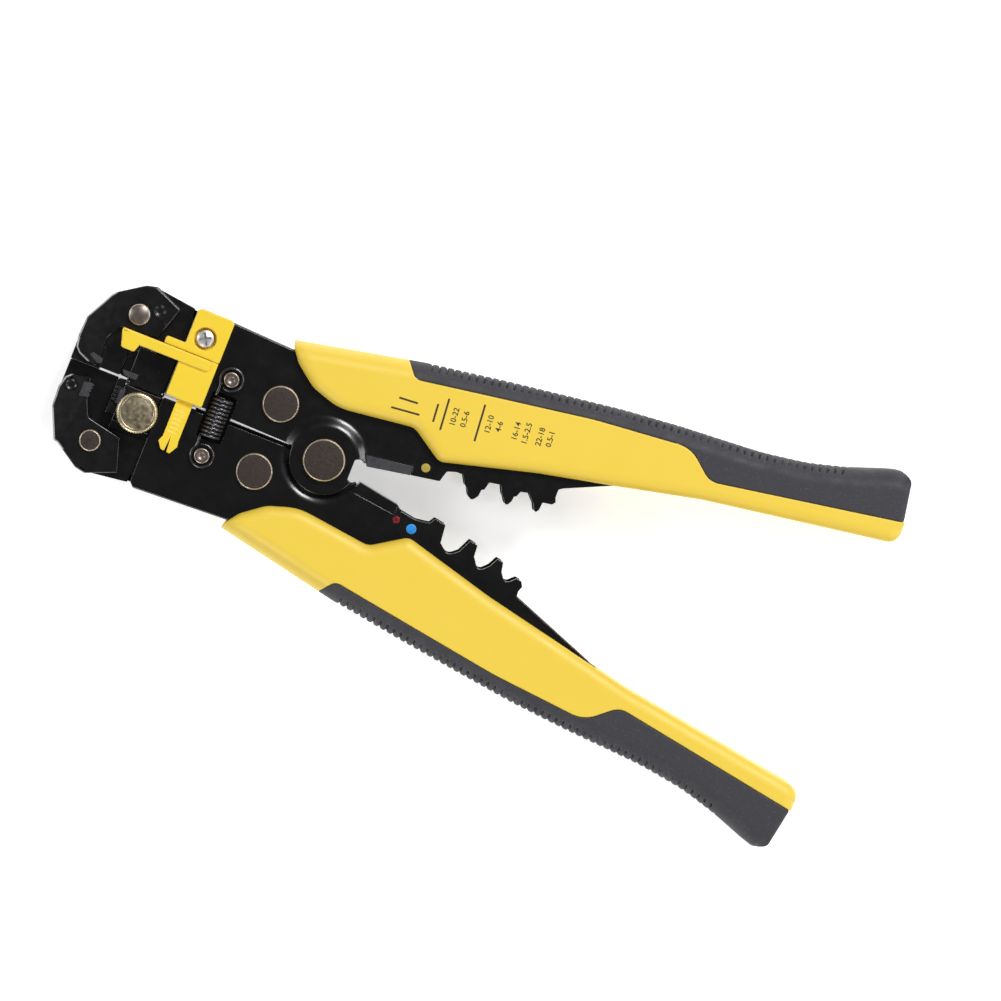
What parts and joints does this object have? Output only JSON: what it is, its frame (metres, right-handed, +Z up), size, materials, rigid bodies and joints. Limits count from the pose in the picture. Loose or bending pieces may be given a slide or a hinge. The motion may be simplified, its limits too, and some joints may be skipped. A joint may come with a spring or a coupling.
{
  "type": "wire stripper",
  "caption": "Self-adjusting wire stripper with cutter and crimp nests: two gripped levers, front grip jaws, blade blocks and a sliding wire stop.",
  "frame": {"origin": "on the surface the tool lies on, under the middle of its bounding box", "axes": "+X from the nose to the handle ends, +Y from the lower to the upper handle, +Z up, from the far side plates to the side with the wire stop and tension knob"},
  "size_m": [0.2061, 0.0998, 0.0238],
  "materials": {
    "black_steel": "glossy black enamel on pressed steel",
    "black_jaw": "satin black on cast steel",
    "rivet_steel": "browned, turned face with a bright rim",
    "bright_steel": "bright plated",
    "blade_steel": "ground",
    "spring_steel": "oiled dark spring wire",
    "grip_yellow": "fine moulded texture",
    "grip_grey": "matte soft rubber, grained",
    "stop_yellow": "satin moulded",
    "brass": "aged, knurled"
  },
  "bodies": {
    "upper_lever": {"upper_lever_frame": "black_steel", "upper_grip_body": "grip_yellow", "upper_grip_inlay": "grip_grey", "upper_cutter_blade": "blade_steel", "upper_link_rivet": "rivet_steel", "upper_spring_post_near": "rivet_steel", "upper_spring_post_far": "rivet_steel", "main_pivot_rivet": "rivet_steel", "return_spring_near": "spring_steel", "return_spring_far": "spring_steel", "stop_bracket": "stop_yellow", "stop_screw": "bright_steel"},
    "lower_lever": {"lower_lever_frame": "black_steel", "lower_grip_body": "grip_yellow", "lower_grip_inlay": "grip_grey", "lower_cutter_blade": "blade_steel", "lower_link_rivet": "rivet_steel", "lower_spring_post_near": "rivet_steel", "lower_spring_post_far": "rivet_steel"},
    "jaw_carrier": {"centre_guide": "bright_steel", "pivot_spacer_near": "bright_steel", "pivot_spacer_far": "bright_steel", "upper_strip_block": "black_jaw", "lower_strip_block": "black_jaw", "upper_strip_pin": "bright_steel", "lower_strip_pin": "bright_steel"},
    "sled": {"grip_sled": "bright_steel", "upper_sled_pin": "bright_steel", "lower_sled_pin": "bright_steel"},
    "upper_jaw": {"upper_grip_arm": "black_steel", "upper_nose_jaw": "black_jaw", "upper_nose_rivet": "rivet_steel", "upper_grip_teeth": "blade_steel"},
    "lower_jaw": {"lower_grip_arm": "black_steel", "lower_nose_jaw": "black_jaw", "lower_nose_rivet": "rivet_steel", "lower_grip_teeth": "blade_steel"},
    "upper_blades": {"upper_blade_pack": "blade_steel"},
    "lower_blades": {"lower_blade_pack": "blade_steel"},
    "knob": {"tension_knob": "brass"},
    "stop_slider": {"wire_stop": "stop_yellow"}
  },
  "joints": [
    {"name": "squeeze", "type": "hinge", "parent": "upper_lever", "child": "lower_lever", "pos_m": [-0.03575, 0, 0.0115], "axis": [0, 0, 1], "range_deg": [0, 19.5], "stiffness_Nm_per_rad": 0.5, "springref_deg": -20.05, "deforming": ["return_spring_near", "return_spring_far"]},
    {"name": "carrier_turn", "type": "hinge", "parent": "upper_lever", "child": "jaw_carrier", "pos_m": [-0.03575, 0, 0.0115], "axis": [0, 0, 1], "range_deg": [0, 9.8]},
    {"name": "sled_slide", "type": "slide", "parent": "jaw_carrier", "child": "sled", "axis": [-1, 0, 0], "range_m": [0, 0.008]},
    {"name": "upper_jaw_close", "type": "hinge", "parent": "sled", "child": "upper_jaw", "pos_m": [-0.04775, 0.0042, 0.0115], "axis": [0, 0, 1], "range_deg": [0, 1.4]},
    {"name": "lower_jaw_close", "type": "hinge", "parent": "sled", "child": "lower_jaw", "pos_m": [-0.04775, -0.0042, 0.0115], "axis": [0, 0, -1], "range_deg": [0, 1.4]},
    {"name": "upper_blades_close", "type": "slide", "parent": "jaw_carrier", "child": "upper_blades", "axis": [0, -1, 0], "range_m": [0, 0.0013]},
    {"name": "lower_blades_close", "type": "slide", "parent": "jaw_carrier", "child": "lower_blades", "axis": [0, 1, 0], "range_m": [0, 0.0013]},
    {"name": "knob_turn", "type": "hinge", "parent": "jaw_carrier", "child": "knob", "pos_m": [-0.08265, -0.006, 0.0115], "axis": [0, 0, 1], "range_deg": [-180, 180]},
    {"name": "stop_slide", "type": "slide", "parent": "upper_lever", "child": "stop_slider", "axis": [1, 0, 0], "range_m": [-0.003, 0]}
  ],
  "couplings": [
    {"joint": "carrier_turn", "follows": "squeeze", "ratio": 0.5},
    {"joint": "sled_slide", "follows": "squeeze", "m_per_rad": 0.0235},
    {"joint": "upper_jaw_close", "follows": "squeeze", "ratio": 0.0717},
    {"joint": "lower_jaw_close", "follows": "squeeze", "ratio": 0.0717},
    {"joint": "upper_blades_close", "follows": "squeeze", "m_per_rad": 0.0038},
    {"joint": "lower_blades_close", "follows": "squeeze", "m_per_rad": 0.0038}
  ]
}
